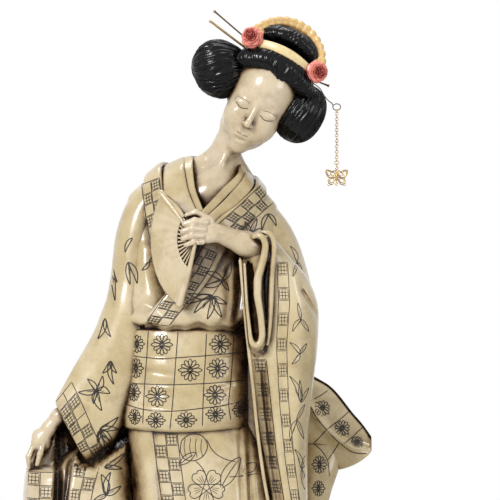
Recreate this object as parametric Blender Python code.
"""Standing kimono figurine in cast resin, with a comb, two roses, hairpins and a chain with a butterfly charm.

The origin is the centre of the flat underside, +Z is up and the figurine faces -Y.
Lengths below are millimetres and angles are degrees, until MM turns them into metres.
"""

import math

import bmesh
import bpy
from mathutils import Matrix, Vector

# Height over all of the figurine, and one millimetre of its design at that height
FIGURE_HEIGHT = 503.5
MM = 0.001 * FIGURE_HEIGHT / 503.5

# Gaps between pieces that touch on the real figurine
SEAT_GAP = 0.3
LINK_GAP = 0.15

# The skirt reaches a little below the floor, where a block cuts its underside flat
FLOOR_CUT_SIDE = 400.0

# Robe, each row a level, its left and right edges, its front and its back
OBI_BOTTOM = 274.0
OBI_TOP = 329.0
SKIRT_SECTIONS = (
    (-4.0, -81.0, 81.0, -58.0, 62.0),
    (14.0, -78.0, 77.0, -54.0, 59.0),
    (60.0, -66.0, 69.0, -47.0, 53.0),
    (120.0, -52.0, 63.0, -42.0, 48.0),
    (180.0, -42.0, 58.0, -38.0, 45.0),
    (234.0, -36.0, 54.0, -34.5, 41.0),
    (258.0, -37.5, 47.0, -31.5, 37.0),
    (280.0, -38.5, 36.0, -28.5, 30.0),
)
BODICE_SECTIONS = (
    (324.0, -38.0, 33.0, -29.0, 29.0),
    (330.0, -41.5, 37.0, -33.0, 30.0),
    (337.0, -42.0, 41.0, -33.5, 29.0),
    (350.0, -40.0, 43.0, -30.0, 26.0),
    (366.0, -38.5, 45.0, -27.0, 24.5),
    (382.0, -38.0, 47.5, -24.0, 23.0),
    (396.0, -37.5, 47.0, -21.0, 21.5),
    (402.0, -36.0, 42.5, -18.5, 20.0),
    (408.0, -30.0, 36.5, -15.5, 18.5),
    (413.0, -23.0, 31.5, -12.0, 17.0),
    (417.0, -15.0, 27.0, -8.0, 15.0),
    (420.0, -7.0, 22.0, -4.0, 12.0),
)

# Obi, the stiff sash round the waist, and the bow tied at its back
OBI_LEFT = -40.7
OBI_RIGHT = 32.5
OBI_SECTIONS = (
    (OBI_BOTTOM + 0.2, OBI_LEFT + 2.0, OBI_RIGHT - 1.0, -29.0, 29.5),
    (OBI_BOTTOM + 1.5, OBI_LEFT + 0.6, OBI_RIGHT, -31.0, 31.0),
    (OBI_BOTTOM + 8.0, OBI_LEFT, OBI_RIGHT, -33.0, 32.0),
    (OBI_BOTTOM + 27.5, OBI_LEFT + 1.0, OBI_RIGHT, -33.0, 32.0),
    (OBI_TOP - 6.0, OBI_LEFT + 0.5, OBI_RIGHT, -32.0, 32.0),
    (OBI_TOP - 0.8, OBI_LEFT + 1.2, OBI_RIGHT - 1.0, -30.4, 31.0),
    (OBI_TOP, OBI_LEFT + 3.0, OBI_RIGHT - 3.0, -28.6, 29.0),
)
OBI_SQUARENESS = 2.4
BOW_MIDDLE = (OBI_LEFT + OBI_RIGHT) / 2
BOW_KNOT_PLACE = (BOW_MIDDLE, 42.0, 289.0)
BOW_KNOT_HALF = (12.0, 14.0, 16.0)
BOW_RIGHT_LOOP = (
    ((BOW_MIDDLE + 4.0, 40.0, 291.0), 5.0, 12.0, 8.0),
    ((BOW_MIDDLE + 34.0, 39.0, 291.0), -14.0, 20.0, 12.0),
    ((60.0, 34.0, 279.0), -32.0, 22.5, 13.0),
    ((77.0, 30.0, 264.5), -42.0, 19.0, 11.0),
    ((88.0, 27.0, 258.6), -50.0, 13.6, 8.0),
    ((88.0, 27.0, 258.6), -50.0, 11.3, 6.0),
    ((77.0, 29.5, 266.5), -44.0, 10.5, 5.6),
)
BOW_LEFT_LOOP = (
    ((BOW_MIDDLE - 4.0, 40.0, 291.0), -5.0, 12.0, 8.0),
    ((BOW_MIDDLE - 34.0, 39.0, 291.0), 12.0, 19.0, 12.0),
    ((-58.0, 32.0, 283.0), 20.0, 15.0, 9.0),
    ((-64.0, 30.0, 281.0), 22.0, 8.0, 5.0),
)
BOW_RIGHT_END = (
    (218.0, 58.5, 68.5, 15.5, 24.5),
    (226.0, 57.0, 72.0, 15.0, 26.0),
    (238.0, 56.2, 75.4, 15.0, 28.0),
    (250.0, 57.5, 79.5, 15.5, 30.5),
    (264.0, 57.0, 83.0, 19.0, 33.0),
)
BOW_TAILS = (
    (203.0, 18.0, 12.5, 41.9, 49.1),
    (225.0, 15.0, 11.5, 41.2, 48.8),
    (255.0, 10.0, 10.0, 38.5, 48.5),
    (278.0, 6.0, 8.0, 36.0, 48.0),
)

# Collar that stands off the nape
COLLAR_THICKNESS = 4.2
COLLAR_BANDS = (
    (
        ((13.2, 14.0, 422.5), (13.2, 21.0, 411.5)),
        ((4.4, 12.0, 423.0), (-5.0, 19.0, 414.8)),
        ((-1.1, 3.0, 423.0), (-16.0, 5.0, 417.5)),
        ((-1.1, -7.0, 418.0), (-17.6, -9.0, 413.7)),
        ((0.0, -16.0, 407.0), (-17.6, -18.0, 402.7)),
        ((5.0, -25.5, 393.3), (-9.4, -26.0, 387.3)),
    ),
    (
        ((13.2, 14.5, 422.5), (13.2, 21.5, 411.5)),
        ((21.5, 12.0, 422.0), (30.3, 19.0, 412.6)),
        ((25.3, 3.0, 420.3), (35.8, 4.0, 408.7)),
        ((25.0, -7.0, 415.3), (34.4, -9.5, 405.4)),
        ((14.9, -17.5, 404.9), (24.8, -20.5, 396.3)),
        ((1.7, -28.0, 390.6), (12.1, -29.5, 382.3)),
    ),
    (
        ((13.2, 21.0, 413.1), (13.2, 26.0, 403.8)),
        ((-2.8, 20.0, 417.0), (-13.8, 24.0, 407.0)),
        ((-17.0, 7.0, 419.7), (-27.0, 8.0, 411.5)),
        ((-19.3, -7.0, 417.5), (-28.6, -6.0, 408.7)),
        ((-17.3, -20.0, 403.2), (-28.0, -15.0, 399.9)),
        ((-13.8, -27.0, 386.2), (-25.3, -22.0, 383.4)),
        ((-2.8, -33.0, 349.9), (-14.9, -31.0, 345.5)),
    ),
    (
        ((13.2, 21.5, 413.1), (13.2, 26.5, 403.8)),
        ((29.2, 19.0, 413.7), (38.0, 22.0, 404.3)),
        ((36.9, 6.0, 411.5), (45.7, 7.0, 401.6)),
        ((34.4, -10.0, 406.5), (44.0, -7.0, 397.7)),
        ((23.7, -22.5, 397.2), (34.7, -18.5, 388.4)),
        ((11.6, -31.0, 387.3), (23.1, -28.0, 378.5)),
        ((-1.7, -35.0, 365.3), (9.9, -32.5, 358.7)),
        ((-14.9, -36.5, 348.8), (-2.8, -34.0, 342.2)),
        ((-27.0, -34.5, 331.7), (-16.0, -33.5, 326.2)),
    ),
)

# Cuff of her left sleeve: two rolled edges, and the slots between them as places across and up
INNER_ROLL = (
    ((31.9, -45.5, 378.5), 1.5),
    ((35.8, -46.8, 379.3), 1.7),
    ((38.5, -47.2, 374.0), 1.9),
    ((36.3, -47.6, 363.0), 2.1),
    ((34.4, -47.8, 352.0), 2.2),
    ((35.4, -47.8, 340.5), 1.9),
    ((36.8, -47.2, 326.2), 1.8),
    ((33.5, -47.2, 320.4), 1.8),
    ((30.5, -46.6, 325.6), 1.4),
    ((28.6, -45.8, 342.7), 1.2),
    ((27.3, -44.4, 365.2), 1.2),
)
OUTER_ROLL = (
    ((35.2, -45.0, 380.4), 1.2),
    ((40.2, -46.0, 380.9), 1.5),
    ((42.9, -46.0, 374.0), 1.7),
    ((42.2, -45.8, 360.8), 1.5),
    ((41.6, -45.4, 344.3), 1.4),
    ((40.5, -44.8, 327.3), 1.2),
    ((39.5, -44.2, 320.1), 1.0),
)
CUFF_SLOTS = (
    (
        (28.9, 365.3),
        (28.3, 355.4),
        (30.0, 334.5),
        (31.4, 322.6),
        (34.7, 322.9),
        (35.6, 326.8),
        (35.3, 333.4),
        (33.0, 348.8),
        (33.0, 355.4),
        (31.4, 364.2),
    ),
    (
        (39.1, 366.4),
        (37.7, 355.4),
        (38.1, 344.4),
        (39.4, 333.9),
        (40.5, 335.6),
        (40.7, 349.9),
        (41.5, 366.4),
    ),
)
CUFF_SLOT_FLOOR = -36.0
SLEEVE_WALL = 2.6
SLEEVE_MOUTH = 13.0

# Her right sleeve, at the viewer's left: place, turn of the section, half height, half depth
LEFT_SLEEVE = (
    ((-22.0, 0.0, 403.0), -38.0, 9.0, 13.5),
    ((-28.5, -1.0, 390.0), -24.0, 11.5, 14.5),
    ((-32.0, -2.0, 374.0), -14.0, 12.5, 15.0),
    ((-34.0, -4.0, 355.0), -14.0, 13.8, 15.2),
    ((-35.5, -6.0, 339.0), -26.0, 16.0, 15.6),
    ((-40.5, -7.5, 317.0), -50.0, 21.0, 15.5),
    ((-52.5, -9.0, 292.0), -62.0, 23.4, 12.5),
    ((-66.6, -11.0, 272.4), -62.5, 18.2, 8.5),
)

# Her left sleeve, at the viewer's right: the upper arm, then the forearm
RIGHT_UPPER_SLEEVE = (
    ((27.0, 1.0, 398.0), 34.0, 9.0, 12.0),
    ((34.0, 0.5, 389.0), 26.0, 12.5, 14.0),
    ((39.5, 0.0, 378.0), 18.0, 15.0, 15.0),
    ((43.0, -2.0, 366.0), 12.0, 16.6, 16.0),
    ((46.5, -5.0, 351.0), 6.0, 17.2, 17.0),
    ((48.0, -9.0, 338.0), 0.0, 18.4, 17.0),
    ((47.5, -10.0, 322.0), 0.0, 18.0, 15.0),
    ((46.0, -10.0, 300.0), 0.0, 14.0, 11.0),
)
RIGHT_FORE_SLEEVE = (
    ((52.0, -10.0, 350.0), 12.0),
    ((43.0, -25.0, 364.0), 12.5),
    ((33.0, -36.0, 371.5), 10.5),
)
HANGING_SLEEVE = (
    (178.0, 49.5, 60.5, -28.0, -13.0),
    (184.0, 47.0, 61.2, -32.0, -11.0),
    (234.0, 42.5, 61.6, -37.0, -10.0),
    (275.0, 35.5, 62.2, -40.0, -8.0),
    (300.0, 32.0, 64.8, -41.0, -7.0),
    (320.0, 29.0, 67.0, -42.5, -6.0),
    (340.0, 26.5, 67.4, -43.5, -6.0),
    (356.0, 25.5, 62.0, -44.0, -10.0),
    (368.0, 26.5, 52.0, -44.0, -18.0),
    (379.0, 31.0, 43.0, -42.0, -26.0),
)

# Robe lifted by her right hand, level by level, and the fold behind it
LIFTED_ROBE = (
    (-4.0, -93.0, -26.0, -50.0, 44.0),
    (30.0, -92.5, -28.0, -46.0, 42.0),
    (120.0, -92.5, -30.0, -36.0, 36.0),
    (200.0, -93.5, -32.0, -32.0, 32.0),
    (234.0, -94.5, -33.5, -30.0, 27.0),
    (250.0, -93.0, -34.5, -27.0, 24.0),
    (264.0, -89.0, -35.0, -20.0, 19.0),
    (278.0, -80.0, -34.0, -10.0, 15.0),
    (288.0, -73.0, -33.0, -4.0, 11.0),
)
ROBE_MOUTH = (
    (-8.0, -78.6, -66.5, -80.0, -37.0),
    (120.0, -78.6, -68.5, -80.0, -23.0),
    (201.0, -78.6, -70.4, -80.0, -19.0),
    (234.0, -76.5, -69.3, -80.0, -17.0),
    (252.0, -76.0, -67.1, -80.0, -14.0),
    (264.0, -75.9, -64.9, -80.0, -7.0),
    (296.0, -75.9, -64.9, -80.0, -1.0),
)
ROBE_ABOVE_HAND = (
    (254.6, -97.0, -65.0, -80.0, -19.0),
    (264.0, -97.0, -65.0, -80.0, -13.0),
    (278.0, -97.0, -65.0, -80.0, -4.0),
    (296.0, -97.0, -65.0, -80.0, 2.0),
)

# Folds: a line of places across and up, half width and height; a flat layer lies to one side of its line
SKIRT_FOLDS = (
    (((-24.2, 267.4), (-20.9, 245.4), (-18.2, 223.4), (-14.9, 124.4), (-12.7, 14.4)), 2.4, -2.6),
    (((-30.8, 271.8), (-27.0, 234.4), (-27.0, 124.4), (-35.8, 0.0)), 5.0, 1.6),
    (((24.8, 283.9), (26.4, 234.4), (28.1, 157.4), (29.2, 25.4)), 1.5, -1.5),
    (((28.6, 281.0), (30.8, 234.4), (36.9, 157.4), (44.6, 14.4)), 1.8, -2.2),
    (((0.6, 223.4), (2.8, 124.4), (6.1, -4.0)), 7.0, 2.2),
    (((14.9, 212.4), (18.2, 113.4), (23.7, -4.0)), 5.0, -2.6),
    (((-7.2, 201.4), (-10.5, 113.4), (-13.8, -4.0)), 5.0, -2.2),
)
SKIRT_LAYERS = ((((-23.1, 284.0), (-20.9, 250.9), (-18.2, 223.4), (-24.8, -4.0)), -1, 2.4),)
SKIRT_BACK_FOLDS = (
    (((-24.8, 272.9), (-30.3, 157.4), (-41.3, -4.0)), 6.0, 3.0),
    (((-5.5, 267.4), (-8.3, 157.4), (-10.5, -4.0)), 5.0, -3.0),
    (((16.5, 267.4), (20.4, 157.4), (24.8, -4.0)), 6.0, 3.0),
    (((35.8, 267.4), (44.6, 157.4), (57.8, -4.0)), 5.0, -2.6),
)
ROBE_FOLDS = (
    (((-72.6, 272.9), (-71.0, 250.9), (-73.2, 212.4), (-73.2, 124.4)), 2.2, 3.2),
    (((-52.3, 250.9), (-54.5, 157.4), (-56.7, -4.0)), 6.0, 1.8),
    (((-45.1, 201.4), (-50.0, 124.4), (-52.3, -4.0)), 4.0, -2.0),
)
ROBE_LAYERS = (
    (((-76.5, 254.5), (-78.6, 201.4), (-78.6, -4.0)), -1, 3.0),
    (((-64.9, 290.0), (-67.1, 252.0), (-70.4, 201.4), (-66.5, -4.0)), 1, 2.0),
)
ROBE_BACK_FOLDS = (
    (((-86.4, 250.9), (-88.6, -4.0)), 6.0, 2.4),
    (((-71.0, 250.9), (-74.3, -4.0)), 5.0, -2.6),
    (((-52.3, 267.4), (-56.7, -4.0)), 6.0, 2.6),
)
BODICE_FOLDS = (
    (((-38.5, 371.9), (-35.8, 344.4), (-33.6, 334.5)), 2.2, -2.4),
    (((26.4, 371.9), (24.8, 349.9), (22.6, 331.2)), 3.0, -3.4),
    (((18.2, 365.3), (18.7, 344.4), (17.1, 332.3)), 2.0, -1.4),
)
BODICE_LAYERS = ((((36.9, 410.4), (11.6, 387.8), (-1.7, 365.3), (-27.0, 332.3)), 1, 2.2),)
BODICE_BACK_FOLDS = ((((2.8, 404.9), (0.6, 366.4), (-1.7, 331.2)), 2.0, -1.8),)
SLEEVE_FOLDS = (
    (((36.9, 314.7), (39.1, 289.4), (42.4, 261.9), (47.3, 223.4)), 1.8, -3.0),
    (((50.6, 365.3), (55.6, 344.4), (58.9, 322.4)), 5.0, 1.4),
)

# Arms and hands, each row a place and a radius
RIGHT_FOREARM = (
    ((42.0, -35.0, 371.0), 7.6),
    ((28.0, -40.0, 375.0), 6.4),
    ((13.0, -45.0, 381.0), 4.8),
    ((5.0, -46.5, 382.5), 5.2),
    ((-1.0, -47.0, 382.0), 4.6),
)
LEFT_FOREARM = (
    ((-66.0, -10.0, 298.0), 5.4),
    ((-75.0, -12.0, 283.5), 3.9),
    ((-80.4, -12.5, 274.6), 3.4),
    ((-85.2, -12.5, 267.0), 3.9),
)
FINGER_RADIUS = 1.8
HAND_FINGERS = (
    ((6.5, -49.0, 386.6), (0.5, -51.0, 387.4), (-4.8, -50.2, 385.8)),
    ((5.5, -49.6, 383.0), (-0.6, -51.8, 383.6), (-5.8, -51.0, 381.8)),
    ((4.5, -49.4, 378.6), (-1.0, -51.6, 379.0), (-5.2, -50.8, 377.0)),
    ((-88.6, -14.0, 264.5), (-90.9, -14.8, 258.6), (-89.9, -13.4, 253.2)),
    ((-86.0, -12.0, 263.5), (-88.0, -13.0, 257.0), (-88.0, -12.0, 251.8)),
    ((-83.4, -13.6, 266.0), (-84.8, -16.2, 260.0), (-86.0, -16.6, 255.2)),
)

# Open folding fan, turned about the upright through its pivot
FAN_PIVOT = (1.7, -49.5, 377.3)
FAN_RADIUS = 37.4
FAN_START = 132.0
FAN_END = 254.0
FAN_TURN = 44.0
FAN_THICKNESS = 3.4
FAN_HUB = 6.0

# Head: its centre, how far it leans to the viewer's right, and how far it looks down
HEAD_CENTRE = (38.2, -6.0, 457.9)
HEAD_LEAN = 28.0
HEAD_NOD = 18.0
FACE_HALF_WIDTH = 17.6
CHIN_DROP = 35.2
FACE_HALF_DEPTH = 21.6
NECK = (
    ((13.0, 2.0, 404.0), 12.0),
    ((15.5, 2.0, 416.0), 8.8),
    ((17.8, 0.0, 430.0), 6.9),
    ((22.0, -3.0, 441.0), 7.3),
    ((29.0, -3.0, 452.0), 8.6),
)

# Hair in the head's own upright frame: places, then half sizes
HAIR_MASSES = (
    ((0.0, 7.0, 7.0), (24.0, 21.0, 20.5)),
    ((0.0, 21.0, -3.0), (19.5, 13.5, 16.5)),
    ((-27.0, 1.0, 2.5), (16.0, 14.4, 14.6)),
    ((22.4, 1.0, -0.5), (13.6, 13.8, 16.8)),
    ((-10.0, -12.5, 14.0), (14.0, 9.8, 7.6)),
    ((10.5, -12.5, 13.6), (14.0, 9.8, 7.8)),
    ((0.5, -2.0, 30.0), (20.0, 10.0, 7.4)),
)
EAR_HALF = (2.4, 3.2, 5.0)

# Comb in the same frame: a front band and a scalloped crest that meet behind the roses
COMB_HALF_SPAN = 20.0
COMB_END_LEVEL = 20.0
COMB_END_DEPTH = -12.0
BAND_RISE = 4.6
BAND_HEIGHT = 4.4
BAND_THICKNESS = 2.2
BAND_BULGE = 6.0
BAND_BULGE_HALF = 14.0
CREST_RISE = 18.3
CREST_HEIGHT = 6.4
CREST_THICKNESS = 2.4
CREST_SET_BACK = 15.0
SCALLOPS = 12
SCALLOP_DEPTH = 1.4
ROSE_RADIUS = 5.8
ROSE_HALF_DEPTH = 4.2
ROSE_OUT = 1.0
ROSE_LEVEL = 23.6
ROSE_PETALS = 5
ROSE_PROFILE = ((0.25, 0.95), (0.7, 0.7), (0.95, 0.3), (1.0, 0.0), (0.72, -0.65), (0.3, -0.92))

# Hairpins in the same frame: the free tip, the buried end and the radius
PINS = {
    "hairpin_upper_left": ((-45.8, -4.5, 26.7), (-8.5, -1.5, 18.5), 0.55),
    "hairpin_lower_left": ((-45.4, -2.5, 20.9), (-9.0, 2.5, 15.2), 0.8),
    "hairpin_right": ((29.7, -3.5, 20.0), (9.0, -1.0, 17.6), 0.55),
}
PIN_KNOB = 0.35

# Drop wire and the loop at its end, seen from the front
WIRE_RADIUS = 0.28
WIRE_DEPTH = -9.0
EYE_OFFSET = (39.45, -7.9)
EYE_HALF_WIDTH = 2.1
EYE_HALF_HEIGHT = 1.75
WIRE_OFFSETS = ((12.0, 9.0), (24.0, 6.2), (30.0, 2.5), (33.0, -2.2), (35.2, -4.7), (37.0, -6.1))

# Cable chain
LINK_COUNT = 19
UPPER_LINKS = 10
LINK_PITCH = 1.485
LINK_WIRE = 0.4
LINK_WIDTH = 1.9
RING_OUTER = 2.6
SMALL_RING_OUTER = 2.6

# Butterfly charm
CHARM_THICKNESS = 1.0
CHARM_SPAN = 12.3
CHARM_HEIGHT = 8.6
CHARM_BAIL_OUTER = 1.9
CHARM_DROP_RING = 1.7

# Fineness of the casting's mesh
VOXEL = 1.15
CASTING_TRIANGLES = 11400
RING_POINTS = 40
GARMENT_POINTS = 150
GARMENT_STEP = 3.5
LAYER_EDGE = 1.0

HEAD_FRAME = Matrix.Translation(Vector(HEAD_CENTRE)) @ Matrix.Rotation(math.radians(HEAD_LEAN), 4, "Y")
LINK_LENGTH = LINK_PITCH + 2 * LINK_WIRE + LINK_GAP


def in_head(x, y, z):
    """A place given in the head's leaning frame, as a place of the whole figurine."""
    return HEAD_FRAME @ Vector((x, y, z))


def section(centre, across, up, half_across, half_up, power=2.0, count=RING_POINTS):
    """Points round one closed section in the plane of two directions."""
    points = []
    for index in range(count):
        angle = 2 * math.pi * index / count
        cosine = math.cos(angle)
        sine = math.sin(angle)
        a = half_across * math.copysign(abs(cosine) ** (2 / power), cosine)
        b = half_up * math.copysign(abs(sine) ** (2 / power), sine)
        points.append(centre + across * a + up * b)
    return points


def add_loft(mesh, rings):
    """A closed skin through rings of equal count, with both ends capped."""
    rows = [[mesh.verts.new(point * MM) for point in ring] for ring in rings]
    for low, high in zip(rows, rows[1:]):
        for index in range(len(low)):
            following = (index + 1) % len(low)
            mesh.faces.new((low[index], low[following], high[following], high[index]))
    mesh.faces.new(list(reversed(rows[0])))
    mesh.faces.new(rows[-1])


def add_levels(mesh, levels, power=2.0, count=RING_POINTS):
    """A loft through level sections given by their edges."""
    rings = []
    for level, left, right, front, back in levels:
        centre = Vector(((left + right) / 2, (front + back) / 2, level))
        half = ((right - left) / 2, (back - front) / 2)
        rings.append(section(centre, Vector((1, 0, 0)), Vector((0, 1, 0)), *half, power, count))
    add_loft(mesh, rings)


def add_sleeve(mesh, rows):
    """A loft through upright sections, each turned in the plane of the picture."""
    rings = []
    for place, turn, half_height, half_depth in rows:
        across = Vector((math.cos(math.radians(turn)), 0, math.sin(math.radians(turn))))
        rings.append(section(Vector(place), across, Vector((0, 1, 0)), half_height, half_depth))
    add_loft(mesh, rings)


def path_frames(points):
    """Directions square to a path at each of its points, carried along without twist."""
    frames = []
    side = None
    for index, point in enumerate(points):
        before = points[max(index - 1, 0)]
        after = points[min(index + 1, len(points) - 1)]
        along = (after - before).normalized()
        if side is None:
            guide = Vector((0, 1, 0)) if abs(along.y) < 0.8 else Vector((1, 0, 0))
            side = along.cross(guide).normalized()
        side = (side - along * side.dot(along)).normalized()
        frames.append((point, side, along.cross(side)))
    return frames


def add_limb(mesh, rows, count=16):
    """A tapering round limb through places with radii, rounded at both ends."""
    points = [Vector(place) for place, radius in rows]
    radii = [radius for place, radius in rows]
    rings = []
    for (point, side, up), radius in zip(path_frames(points), radii):
        rings.append(section(point, side, up, radius, radius, count=count))
    add_loft(mesh, rings)
    for point, radius in ((points[0], radii[0]), (points[-1], radii[-1])):
        add_ellipsoid(mesh, Matrix.Translation(point), (radius, radius, radius), count)


def add_ellipsoid(mesh, place, half_sizes, count=32):
    """A closed ellipsoid under a placing matrix given in millimetres."""
    shape = Matrix.Scale(MM, 4) @ place @ Matrix.Diagonal((*half_sizes, 1.0))
    bmesh.ops.create_uvsphere(mesh, u_segments=count, v_segments=count // 2, radius=1.0, matrix=shape)


def mesh_object(name, mesh, material):
    """A named object from a finished bmesh, faces out and shaded smooth."""
    bmesh.ops.recalc_face_normals(mesh, faces=mesh.faces)
    data = bpy.data.meshes.new(name)
    mesh.to_mesh(data)
    mesh.free()
    shape = bpy.data.objects.new(name, data)
    bpy.context.scene.collection.objects.link(shape)
    if material:
        data.materials.append(material)
    data.shade_smooth()
    data.set_sharp_from_angle(angle=math.radians(40))
    return shape


def settled(shape):
    """Applies an object's modifiers, so that the next step can count its faces."""
    bpy.context.view_layer.update()
    seen = shape.evaluated_get(bpy.context.evaluated_depsgraph_get())
    data = bpy.data.meshes.new_from_object(seen)
    shape.modifiers.clear()
    shape.data = data


def cut(shape, cutter):
    """Takes a guide shape away from an object and keeps the guide as a wire."""
    cutter.hide_render = True
    cutter.display_type = "WIRE"
    boolean = shape.modifiers.new(cutter.name, "BOOLEAN")
    boolean.operation = "DIFFERENCE"
    boolean.solver = "EXACT"
    boolean.object = cutter


def paint(name, colour, roughness, metallic=0.0):
    """A Principled material with one plain colour."""
    made = bpy.data.materials.new(name)
    made.use_nodes = True
    principled = made.node_tree.nodes["Principled BSDF"]
    principled.inputs["Base Color"].default_value = (*colour, 1.0)
    principled.inputs["Roughness"].default_value = roughness
    principled.inputs["Metallic"].default_value = metallic
    return made


def line_at(line, level):
    """How far across a fold's line lies at a level, and how far inside its ends that level is."""
    rows = sorted((place[1], place[0]) for place in line)
    inside = min(level - rows[0][0], rows[-1][0] - level)
    across = rows[0][1]
    for (low, first), (high, second) in zip(rows, rows[1:]):
        if level >= low:
            share = min(1.0, (level - low) / (high - low))
            across = first + (second - first) * share
    return across, inside


def cloth_lift(x, z, folds, layers):
    """How far the cloth stands off its plain section at one place."""
    lift = 0.0
    for line, width, height in folds:
        across, inside = line_at(line, z)
        if inside > 0:
            taper = min(1.0, inside / 12.0)
            lift += height * taper * math.exp(-(((x - across) / width) ** 2))
    for line, side, height in layers:
        across, inside = line_at(line, z)
        if inside > 0:
            lift += height * max(0.0, min(1.0, (x - across) * side / LAYER_EDGE + 0.5))
    return lift


def add_garment(mesh, levels, power, folds=(), layers=(), back_folds=()):
    """A loft through level sections, with folds and flat layers in front and folds behind."""
    fine = [levels[0]]
    for low, high in zip(levels, levels[1:]):
        count = max(1, round((high[0] - low[0]) / GARMENT_STEP))
        for step in range(1, count + 1):
            fine.append(tuple(a + (b - a) * step / count for a, b in zip(low, high)))
    rings = []
    for level, left, right, front, back in fine:
        centre = Vector(((left + right) / 2, (front + back) / 2, level))
        half = ((right - left) / 2, (back - front) / 2)
        ring = section(centre, Vector((1, 0, 0)), Vector((0, 1, 0)), *half, power, GARMENT_POINTS)
        for point in ring:
            facing = (point.y - centre.y) / half[1]
            share = min(1.0, abs(facing) * 1.6)
            if facing < 0:
                point.y -= share * cloth_lift(point.x, level, folds, layers)
            else:
                point.y += share * cloth_lift(point.x, level, back_folds, ())
        rings.append(ring)
    add_loft(mesh, rings)


def add_prism(mesh, outline, front, back):
    """A straight block behind an outline given across and up."""
    rings = []
    for depth in (front, back):
        rings.append([Vector((x, depth, z)) for x, z in outline])
    add_loft(mesh, rings)


def add_carved(mesh, build, cutters):
    """One garment with its recesses cut, added to the casting."""
    alone = bmesh.new()
    build(alone)
    garment = mesh_object("garment", alone, None)
    recesses = []
    for shape in cutters:
        tool = bmesh.new()
        shape(tool)
        recesses.append(mesh_object("recess", tool, None))
        cut(garment, recesses[-1])
    settled(garment)
    mesh.from_mesh(garment.data)
    for shape in (garment, *recesses):
        bpy.data.objects.remove(shape)


def add_robe(mesh):
    """Skirt, bodice, the robe lifted at the side, and both sleeves."""
    add_garment(mesh, SKIRT_SECTIONS, 2.2, SKIRT_FOLDS, SKIRT_LAYERS, SKIRT_BACK_FOLDS)
    add_garment(mesh, BODICE_SECTIONS, 2.2, BODICE_FOLDS, BODICE_LAYERS, BODICE_BACK_FOLDS)
    add_carved(
        mesh,
        lambda garment: add_garment(garment, LIFTED_ROBE, 2.6, ROBE_FOLDS, ROBE_LAYERS, ROBE_BACK_FOLDS),
        (
            lambda tool: add_levels(tool, ROBE_MOUTH, 6.0),
            lambda tool: add_levels(tool, ROBE_ABOVE_HAND, 6.0),
        ),
    )
    slots = []
    for outline in CUFF_SLOTS:
        slots.append(lambda tool, outline=outline: add_prism(tool, outline, -80.0, CUFF_SLOT_FLOOR))
    add_carved(mesh, lambda garment: add_garment(garment, HANGING_SLEEVE, 2.6, SLEEVE_FOLDS), slots)
    place, turn, half_height, half_depth = LEFT_SLEEVE[-1]
    lining = (place, turn, half_height - SLEEVE_WALL, half_depth - SLEEVE_WALL)
    lead = (Vector(LEFT_SLEEVE[-2][0]) - Vector(place)).normalized()
    depth = tuple(Vector(place) + lead * SLEEVE_MOUTH)
    floor = (depth, turn, half_height - SLEEVE_WALL * 2, half_depth - SLEEVE_WALL)
    add_sleeve(mesh, (*LEFT_SLEEVE, lining, floor))
    add_sleeve(mesh, RIGHT_UPPER_SLEEVE)
    add_limb(mesh, RIGHT_FORE_SLEEVE, 24)
    add_limb(mesh, INNER_ROLL, 16)
    add_limb(mesh, OUTER_ROLL, 16)


def add_collar(mesh):
    """Lapels of both robes, each a flat band from the nape to the crossing on the chest."""
    for band in COLLAR_BANDS:
        rings = []
        for index, (inner, outer) in enumerate(band):
            before = band[max(0, index - 1)]
            after = band[min(len(band) - 1, index + 1)]
            along = Vector(after[0]) + Vector(after[1]) - Vector(before[0]) - Vector(before[1])
            across = Vector(outer) - Vector(inner)
            thick = along.cross(across).normalized() * COLLAR_THICKNESS / 2
            middle = (Vector(inner) + Vector(outer)) / 2
            front = [Vector(inner) + thick, middle + thick, Vector(outer) + thick]
            behind = [Vector(outer) - thick, middle - thick, Vector(inner) - thick]
            rings.append(front + behind)
        add_loft(mesh, rings)


def add_obi(mesh):
    """The sash round the waist and the bow at its back, with loops, tails and an open end."""
    add_levels(mesh, OBI_SECTIONS, OBI_SQUARENESS)
    add_ellipsoid(mesh, Matrix.Translation(BOW_KNOT_PLACE), BOW_KNOT_HALF)
    add_wing(mesh, BOW_RIGHT_LOOP)
    add_wing(mesh, BOW_LEFT_LOOP)
    add_levels(mesh, BOW_RIGHT_END)
    for side in (-1, 1):
        tail = []
        for level, out, half, front, back in BOW_TAILS:
            middle = BOW_MIDDLE + side * out
            tail.append((level, middle - half, middle + half, front, back))
        add_levels(mesh, tail, 3.0)


def add_wing(mesh, rows):
    """A bow loop through upright sections that lean with the loop."""
    rings = []
    for place, lean, half_height, half_depth in rows:
        up = Vector((math.sin(math.radians(-lean)), 0, math.cos(math.radians(lean))))
        rings.append(section(Vector(place), up, Vector((0, 1, 0)), half_height, half_depth, 2.4))
    add_loft(mesh, rings)


def add_arms(mesh):
    """Forearms, palms and fingers."""
    add_limb(mesh, RIGHT_FOREARM)
    add_limb(mesh, LEFT_FOREARM)
    for finger in HAND_FINGERS:
        add_limb(mesh, [(place, FINGER_RADIUS) for place in finger], 12)


def add_fan(mesh):
    """A sector plate round its pivot, turned back toward the chest."""
    pivot = Vector(FAN_PIVOT)
    turn = Matrix.Rotation(math.radians(-FAN_TURN), 3, "Z")
    outline = [Vector((FAN_HUB, 0, 0)), Vector((0, 0, FAN_HUB))]
    steps = 16
    for step in range(steps + 1):
        angle = math.radians(FAN_START + (FAN_END - FAN_START) * step / steps)
        outline.append(Vector((math.cos(angle), 0, math.sin(angle))) * FAN_RADIUS)
    outline.append(Vector((0, 0, -FAN_HUB)))
    rings = []
    for side in (-1, 1):
        offset = Vector((0, side * FAN_THICKNESS / 2, 0))
        rings.append([pivot + turn @ (point + offset) for point in outline])
    add_loft(mesh, rings)


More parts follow.
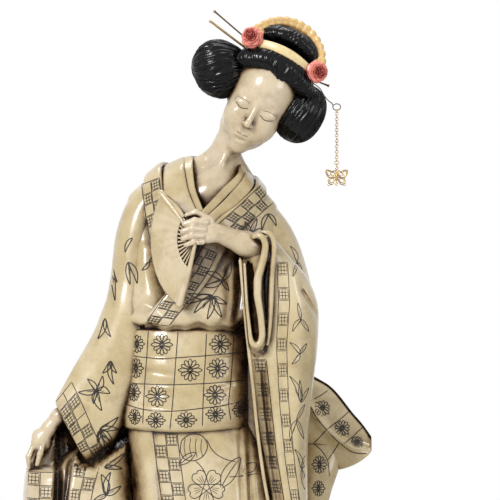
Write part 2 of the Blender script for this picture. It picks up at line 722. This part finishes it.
def add_head(mesh):
    """Neck, face and ears, with the face turned down by the nod."""
    add_limb(mesh, NECK)
    face = HEAD_FRAME @ Matrix.Rotation(math.radians(HEAD_NOD), 4, "X")
    cranium_half = (FACE_HALF_WIDTH + 1.0, FACE_HALF_DEPTH, CHIN_DROP * 0.66)
    add_ellipsoid(mesh, face @ Matrix.Translation((0, 1, 0)), cranium_half)
    add_ellipsoid(mesh, face @ Matrix.Translation((0, -3.5, -10)), (FACE_HALF_WIDTH, 16.0, 18.5))
    jaw = Matrix.Translation((0, -8.0, 6.5 - CHIN_DROP))
    add_ellipsoid(mesh, face @ jaw, (7.2, 7.5, 6.5))
    nose = Matrix.Translation((0, -FACE_HALF_DEPTH + 1.0, -12.5))
    add_ellipsoid(mesh, face @ nose, (2.0, 3.0, 5.0), 16)
    for side in (-1, 1):
        ear = Matrix.Translation((side * FACE_HALF_WIDTH, 2.0, -10.0))
        add_ellipsoid(mesh, face @ ear, EAR_HALF, 16)


def add_hair(mesh):
    """Side lobes, the front roll, the top roll and the full back of the hair."""
    for place, half_sizes in HAIR_MASSES:
        add_ellipsoid(mesh, HEAD_FRAME @ Matrix.Translation(Vector(place)), half_sizes)


def arch_rings(path, height, thickness, gap, wave=None):
    """Rectangular sections along an arch in the head's frame; wave lowers the outer edge."""
    rings = []
    for index, place in enumerate(path):
        along = path[min(index + 1, len(path) - 1)] - path[max(index - 1, 0)]
        outward = Vector((-along.z, 0, along.x)).normalized()
        outer = height / 2 + gap + (wave(index / (len(path) - 1)) if wave else 0.0)
        inner = -height / 2 - gap
        half = thickness / 2 + gap
        corners = ((inner, -half), (outer, -half), (outer, half), (inner, half))
        rings.append([HEAD_FRAME @ (place + outward * a + Vector((0, b, 0))) for a, b in corners])
    return rings


def add_band(mesh, gap=0.0):
    """The comb's front band, grown by a gap where it is a cutter."""
    path = []
    for step in range(-12, 13):
        across = COMB_HALF_SPAN * step / 12
        rise = 1 - (across / COMB_HALF_SPAN) ** 2
        bulge = max(0.0, 1 - (across / BAND_BULGE_HALF) ** 2)
        depth = COMB_END_DEPTH - BAND_BULGE * bulge
        path.append(Vector((across, depth, COMB_END_LEVEL + BAND_RISE * rise)))
    add_loft(mesh, arch_rings(path, BAND_HEIGHT, BAND_THICKNESS, gap))


def add_crest(mesh, gap=0.0):
    """The comb's scalloped crest, grown by a gap and left smooth where it is a cutter."""
    path = []
    steps = SCALLOPS * (2 if gap else 6)
    for step in range(steps + 1):
        angle = math.pi * (1 - step / steps)
        lift = math.sin(angle)
        depth = COMB_END_DEPTH + CREST_SET_BACK * lift
        path.append(Vector((COMB_HALF_SPAN * math.cos(angle), depth, COMB_END_LEVEL + CREST_RISE * lift)))

    def scallop(share):
        """How far the outer edge dips between two scallops."""
        return SCALLOP_DEPTH * (abs(math.sin(share * math.pi * SCALLOPS)) - 1)

    add_loft(mesh, arch_rings(path, CREST_HEIGHT, CREST_THICKNESS, gap, None if gap else scallop))


def add_rose(mesh, side, gap=0.0):
    """A domed rose seated on the comb's end, or its plain pocket where a gap is given."""
    comb_front = COMB_END_DEPTH - max(BAND_THICKNESS, CREST_THICKNESS) / 2
    depth = comb_front - SEAT_GAP - ROSE_HALF_DEPTH
    frame = HEAD_FRAME @ Matrix.Translation((side * (COMB_HALF_SPAN + ROSE_OUT), depth, ROSE_LEVEL))
    if gap:
        half = (ROSE_RADIUS + gap, ROSE_HALF_DEPTH + gap, ROSE_RADIUS + gap)
        add_ellipsoid(mesh, frame, half, 24)
        return
    count = ROSE_PETALS * 6
    rings = []
    for radius_share, depth_share in ROSE_PROFILE:
        ring = []
        for index in range(count):
            angle = 2 * math.pi * index / count
            petal = 0.97 - 0.08 * abs(math.sin(ROSE_PETALS * angle / 2)) ** 6
            radius = ROSE_RADIUS * radius_share * petal
            place = (radius * math.cos(angle), ROSE_HALF_DEPTH * depth_share * 0.97, radius * math.sin(angle))
            ring.append(frame @ Vector(place))
        rings.append(ring)
    add_loft(mesh, rings)


def add_pin(mesh, tip, end, radius, gap=0.0):
    """A round rod with a small knob on its free tip."""
    tip = in_head(*tip)
    end = in_head(*end)
    along = (end - tip).normalized()
    stops = ((0.0, radius * 0.5), (0.3, radius + PIN_KNOB), (1.2, radius + PIN_KNOB), (1.6, radius))
    if gap:
        stops = ((1.6, radius + gap),)
    rows = [(tip + along * place, size) for place, size in stops]
    rows.append((end + along * gap, radius + gap))
    rings = []
    side = along.cross(Vector((0, 1, 0))).normalized()
    for place, size in rows:
        rings.append(section(place, side, along.cross(side), size, size, count=12))
    add_loft(mesh, rings)


def wire_points():
    """The drop wire's way from the hair to its loop, and the place of the loop."""
    head_x, head_y, head_z = HEAD_CENTRE
    depth = head_y + WIRE_DEPTH
    lead = [Vector((head_x + x, depth, head_z + z)) for x, z in WIRE_OFFSETS]
    eye = Vector((head_x + EYE_OFFSET[0], depth, head_z + EYE_OFFSET[1]))
    return lead, eye


def add_tube(mesh, points, radius, closed, count=8):
    """A round wire along points, open with end caps or closed on itself."""
    if not closed:
        rows = path_frames(points)
        add_loft(mesh, [section(p, side, up, radius, radius, count=count) for p, side, up in rows])
        return
    normal = Vector((0, 0, 0))
    for index, point in enumerate(points):
        normal += point.cross(points[(index + 1) % len(points)])
    normal.normalize()
    rows = []
    for index, point in enumerate(points):
        along = points[(index + 1) % len(points)] - points[index - 1]
        outward = along.normalized().cross(normal)
        ring = section(point, outward, normal, radius, radius, count=count)
        rows.append([mesh.verts.new(place * MM) for place in ring])
    for row, following in zip(rows, rows[1:] + rows[:1]):
        for index in range(count):
            after = (index + 1) % count
            mesh.faces.new((row[index], row[after], following[after], following[index]))


def ring_path(centre, half_width, half_height, plane, count):
    """Points round an upright oval in the XZ or the YZ plane."""
    points = []
    for index in range(count):
        angle = 2 * math.pi * index / count
        flat = half_width * math.cos(angle)
        lift = half_height * math.sin(angle)
        offset = Vector((flat, 0, lift)) if plane == "XZ" else Vector((0, flat, lift))
        points.append(centre + offset)
    return points


def guide(mesh, material):
    """A wire-only shape that another piece is cut or joined with."""
    shape = mesh_object("guide", mesh, material)
    shape.hide_render = True
    shape.display_type = "WIRE"
    return shape


def united(name, builders, material):
    """One solid from overlapping shapes: the first holds the rest as Boolean unions."""
    shapes = []
    for build in builders:
        mesh = bmesh.new()
        build(mesh)
        shapes.append(guide(mesh, material) if shapes else mesh_object(name, mesh, material))
    for index, other in enumerate(shapes[1:]):
        union = shapes[0].modifiers.new(f"joined {index + 1}", "BOOLEAN")
        union.operation = "UNION"
        union.solver = "EXACT"
        union.object = other
    return shapes[0]


def hang_on(name, axis_point, shapes):
    """Puts a moving body's pieces under an empty on its joint's axis, each with its origin there."""
    place = axis_point * MM
    hook = bpy.data.objects.new(name, None)
    bpy.context.scene.collection.objects.link(hook)
    hook.location = place
    for shape in shapes:
        shape.data.transform(Matrix.Translation(-place))
        shape.parent = hook


def wire_builders():
    """The bent wire that leaves the hair, and the closed loop at its end."""
    lead, eye = wire_points()
    loop_start = eye + Vector((-EYE_HALF_WIDTH, 0, 0.5))
    loop = ring_path(eye, EYE_HALF_WIDTH, EYE_HALF_HEIGHT, "XZ", 20)
    return (
        lambda mesh: add_tube(mesh, lead + [loop_start], WIRE_RADIUS, False),
        lambda mesh: add_tube(mesh, loop, WIRE_RADIUS, True),
    )


def add_link(mesh, centre, width, length, wire, plane, count=14):
    """One oval link of round wire, given its outer width and length."""
    half_width = (width - wire) / 2
    half_length = (length - wire) / 2
    add_tube(mesh, ring_path(centre, half_width, half_length, plane, count), wire / 2, True, 6)


def make_chain(metal):
    """Links and rings hung in turn from the wire's loop; returns them, their pivots and the last hold."""
    lead, eye = wire_points()
    hold = eye.z - EYE_HALF_HEIGHT + WIRE_RADIUS
    sizes = [(f"link_{index + 1:02d}", LINK_WIDTH, LINK_LENGTH) for index in range(LINK_COUNT)]
    sizes.append(("ring_large", RING_OUTER, RING_OUTER))
    sizes.append(("ring_small", SMALL_RING_OUTER, SMALL_RING_OUTER))
    pieces = []
    pivots = [Vector((eye.x, eye.y, eye.z - EYE_HALF_HEIGHT))]
    for index, (name, width, length) in enumerate(sizes):
        top = hold + LINK_GAP + LINK_WIRE
        centre = Vector((eye.x, eye.y, top - length / 2))
        mesh = bmesh.new()
        add_link(mesh, centre, width, length, LINK_WIRE, "YZ" if index % 2 == 0 else "XZ")
        pieces.append(mesh_object(name, mesh, metal))
        hold = top - length + LINK_WIRE
        pivots.append(Vector((eye.x, eye.y, hold - LINK_WIRE / 2)))
    return pieces, pivots


def add_butterfly_plate(mesh, hang, wing_top):
    """Two pairs of wings as one flat plate."""
    half_outline = (
        (0.10, 0.0),
        (0.42, -0.12),
        (0.92, 0.04),
        (1.0, -0.2),
        (0.72, -0.5),
        (0.8, -0.76),
        (0.45, -0.98),
        (0.14, -0.62),
    )
    right = [(CHARM_SPAN / 2 * a, CHARM_HEIGHT * b) for a, b in half_outline]
    outline = right + [(-x, z) for x, z in reversed(right)]
    rings = []
    for depth in (-CHARM_THICKNESS / 2, CHARM_THICKNESS / 2):
        rings.append([Vector((hang.x + x, hang.y + depth, wing_top + z)) for x, z in outline])
    add_loft(mesh, rings)


def charm_builders(hang):
    """The butterfly's plate, its body, the bail above and the three small rings below."""
    top = hang.z + LINK_WIRE * 1.5 + LINK_GAP
    wing_top = top - CHARM_BAIL_OUTER
    bail = Vector((hang.x, hang.y, top - CHARM_BAIL_OUTER / 2))
    body = Vector((hang.x, hang.y, wing_top - CHARM_HEIGHT * 0.42))
    body_half = (0.85, 0.85, CHARM_HEIGHT * 0.45)
    drops = ((-0.34, 0.92), (0.0, 0.9), (0.34, 0.92))

    def drop(mesh, share, fall):
        """A small open ring under the wings."""
        centre = Vector((hang.x + share * CHARM_SPAN, hang.y, wing_top - CHARM_HEIGHT * fall))
        add_link(mesh, centre, CHARM_DROP_RING, CHARM_DROP_RING, LINK_WIRE, "XZ", 12)

    builders = [
        lambda mesh: add_butterfly_plate(mesh, hang, wing_top),
        lambda mesh: add_ellipsoid(mesh, Matrix.Translation(body), body_half, 12),
        lambda mesh: add_link(mesh, bail, CHARM_BAIL_OUTER, CHARM_BAIL_OUTER, LINK_WIRE, "XZ", 12),
    ]
    for share, fall in drops:
        builders.append(lambda mesh, share=share, fall=fall: drop(mesh, share, fall))
    return builders


def make_casting(resin):
    """The whole resin casting, skinned as one body."""
    mesh = bmesh.new()
    for add in (add_robe, add_collar, add_obi, add_arms, add_fan, add_head, add_hair):
        add(mesh)
    casting = mesh_object("figure", mesh, resin)
    remesh = casting.modifiers.new("one skin", "REMESH")
    remesh.mode = "VOXEL"
    remesh.voxel_size = VOXEL * MM
    smooth = casting.modifiers.new("soft joins", "SMOOTH")
    smooth.factor = 0.5
    smooth.iterations = 2
    settled(casting)
    triangles = 2 * len(casting.data.polygons)
    thin = casting.modifiers.new("fewer faces", "DECIMATE")
    thin.ratio = CASTING_TRIANGLES / triangles
    thin.use_collapse_triangulate = True
    settled(casting)
    return casting


def add_floor(mesh):
    """A block under the floor, which leaves the underside flat."""
    side = FLOOR_CUT_SIDE * MM
    size = Matrix.Diagonal((side, side, side / 4, 1.0))
    bmesh.ops.create_cube(mesh, size=1.0, matrix=Matrix.Translation((0, 0, -side / 8)) @ size)


def main():
    """Clears the scene and builds every piece."""
    for shape in list(bpy.data.objects):
        bpy.data.objects.remove(shape, do_unlink=True)
    resin = paint("ivory resin", (0.62, 0.55, 0.36), 0.35)
    amber = paint("amber comb", (0.67, 0.43, 0.16), 0.3)
    coral = paint("coral rose", (0.66, 0.12, 0.09), 0.4)
    brass = paint("brass", (0.6, 0.42, 0.16), 0.3, 1.0)
    bronze = paint("dark bronze", (0.12, 0.08, 0.05), 0.4, 1.0)

    casting = make_casting(resin)
    united("comb", [add_band, add_crest], amber)
    cutters = [add_floor, lambda mesh: add_band(mesh, SEAT_GAP), lambda mesh: add_crest(mesh, SEAT_GAP)]
    for name, side in (("rose_left", -1), ("rose_right", 1)):
        united(name, [lambda mesh, side=side: add_rose(mesh, side)], coral)
        cutters.append(lambda mesh, side=side: add_rose(mesh, side, SEAT_GAP))
    for name, (tip, end, radius) in PINS.items():
        metal = brass if name == "hairpin_lower_left" else bronze
        pin = (tip, end, radius)
        united(name, [lambda mesh, pin=pin: add_pin(mesh, *pin)], metal)
        cutters.append(lambda mesh, pin=pin: add_pin(mesh, *pin, SEAT_GAP))
    united("drop_wire", wire_builders(), bronze)
    lead, eye = wire_points()
    cutters.append(lambda mesh: add_tube(mesh, lead, WIRE_RADIUS + SEAT_GAP, False))
    for build in cutters:
        mesh = bmesh.new()
        build(mesh)
        cut(casting, guide(mesh, resin))

    links, pivots = make_chain(brass)
    charm = united("butterfly_charm", charm_builders(pivots[-1]), brass)
    hang_on("first_link_hook", pivots[0], links[:1])
    hang_on("upper_chain_hook", pivots[1], links[1:UPPER_LINKS])
    hang_on("lower_chain_hook", pivots[UPPER_LINKS], links[UPPER_LINKS:])
    hang_on("charm_hook", pivots[-1], [charm])


main()
